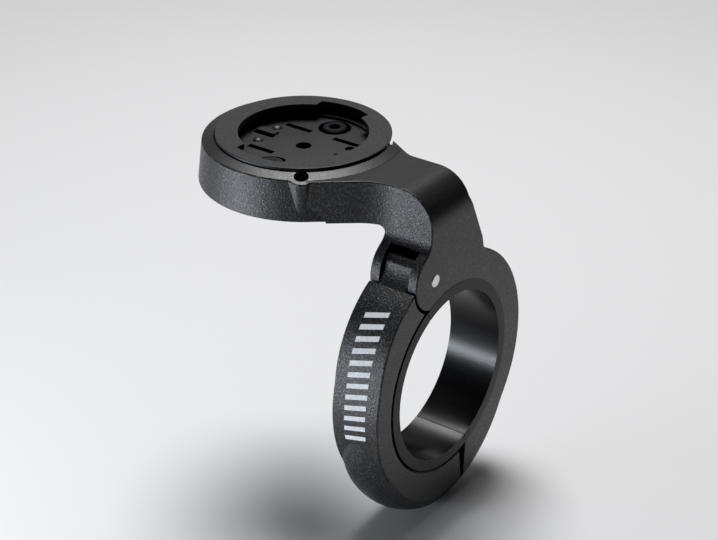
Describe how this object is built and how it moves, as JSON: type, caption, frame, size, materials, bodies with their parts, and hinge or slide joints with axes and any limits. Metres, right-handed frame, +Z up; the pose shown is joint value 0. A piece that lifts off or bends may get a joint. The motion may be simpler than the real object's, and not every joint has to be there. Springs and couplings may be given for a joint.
{
  "type": "handlebar computer mount",
  "caption": "Out-front over-bar mount: a hinged two-jaw clamp, a bent arm and a round bayonet dock that a cycling computer turns into.",
  "frame": {"origin": "centre of the handlebar bore, on the bar's axis, in the middle of the liner's width", "axes": "+Y along the handlebar from the clamp towards the dock, +Z up, -X towards the front of the bicycle"},
  "size_m": [0.0455, 0.0512, 0.0659],
  "materials": {
    "body_plastic": "fine-grained moulded black, satin on the strap's outer face",
    "insert_plastic": "smooth matt black",
    "liner": "smooth black, glossy in the bore",
    "steel": "bright turned steel",
    "black_steel": "black oxide",
    "brass": "turned brass"
  },
  "bodies": {
    "arm": {"arm_body": "body_plastic", "liner_upper": "liner", "hinge_pin": "steel", "clamp_nut": "steel", "dock_insert": "insert_plastic", "dock_screws": "black_steel", "thread_inserts": "brass"},
    "strap": {"clamp_strap": "body_plastic", "liner_lower": "liner"},
    "washer": {"clamp_washer": "steel"},
    "screw": {"clamp_screw": "black_steel"}
  },
  "joints": [
    {"name": "strap_swing", "type": "hinge", "parent": "arm", "child": "strap", "pos_m": [-0.00567, 0, 0.02146], "axis": [0, 1, 0], "range_deg": [0, 55]},
    {"name": "washer_travel", "type": "slide", "parent": "strap", "child": "washer", "axis": [0.9763, 0, 0.2164], "range_m": [0, 0.0052]},
    {"name": "screw_turn", "type": "hinge", "parent": "washer", "child": "screw", "pos_m": [0.00474, -0.0004, -0.02138], "axis": [0.9763, 0, 0.2164], "range_deg": [0, 3744]}
  ],
  "couplings": [
    {"joint": "washer_travel", "follows": "screw_turn", "m_per_rad": 0.000079577}
  ]
}
